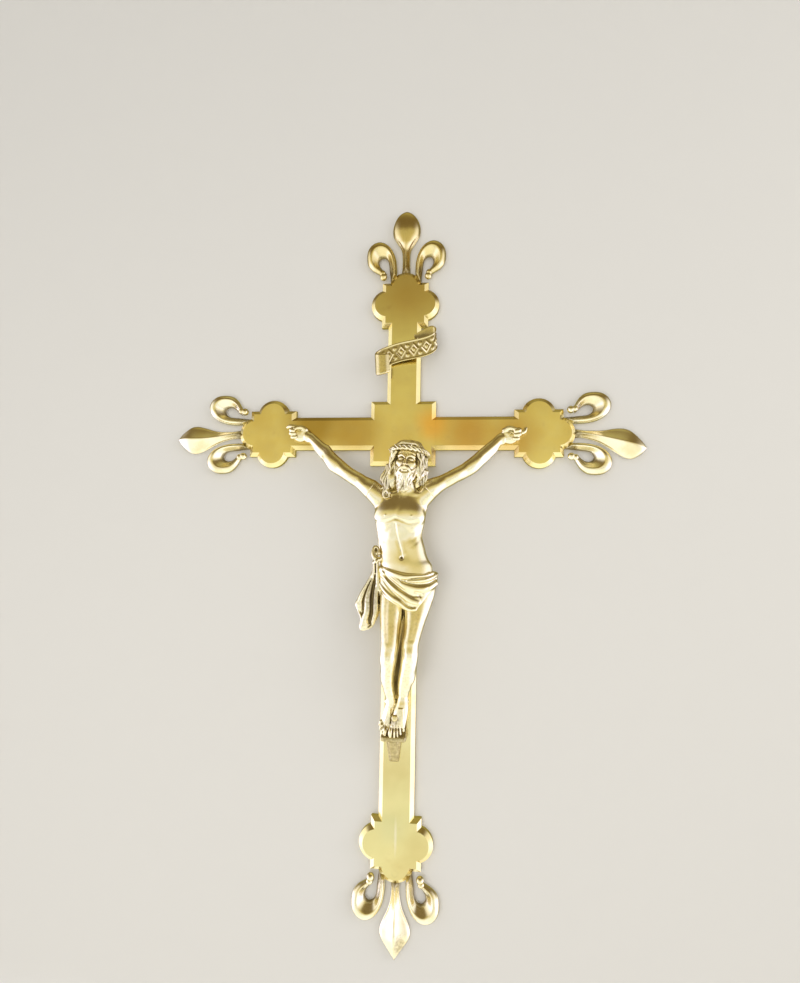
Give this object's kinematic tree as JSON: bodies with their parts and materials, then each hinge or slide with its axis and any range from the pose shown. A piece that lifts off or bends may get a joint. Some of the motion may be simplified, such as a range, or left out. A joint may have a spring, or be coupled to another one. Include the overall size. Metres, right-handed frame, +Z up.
{
  "type": "processional cross",
  "caption": "Brass cross with bevelled bars, barbed quatrefoil plates, fleur-de-lis finials, a blank scroll and a cast corpus on a footrest.",
  "frame": {"origin": "centre of the crossing, on the flat back face", "axes": "+Z up the upright, +X to the viewer's right, +Y out of the back; the front faces -Y"},
  "size_m": [0.338, 0.0395, 0.521],
  "materials": {
    "polished_brass": "polished, lightly tarnished and handled",
    "cast_brass": "cast, polished on the high places, dark in the hollows",
    "aged_brass": "cast, with brown patina",
    "rivet_brass": "filed flush and polished with the plates",
    "steel": "zinc plated, dulled"
  },
  "bodies": {
    "root": {"upright": "polished_brass", "crossbar": "polished_brass", "crossing_rivets": "rivet_brass", "finial_top": "polished_brass", "finial_left": "polished_brass", "finial_right": "polished_brass", "finial_bottom": "polished_brass", "finial_rivets": "rivet_brass", "titulus": "aged_brass", "titulus_rivets": "aged_brass", "corpus_body": "cast_brass", "corpus_arm_left": "cast_brass", "corpus_arm_right": "cast_brass", "hand_nails": "aged_brass", "foot_nail": "aged_brass", "nail_washers": "steel", "nail_nuts": "steel", "footrest": "aged_brass", "footrest_screw": "steel"}
  },
  "joints": []
}
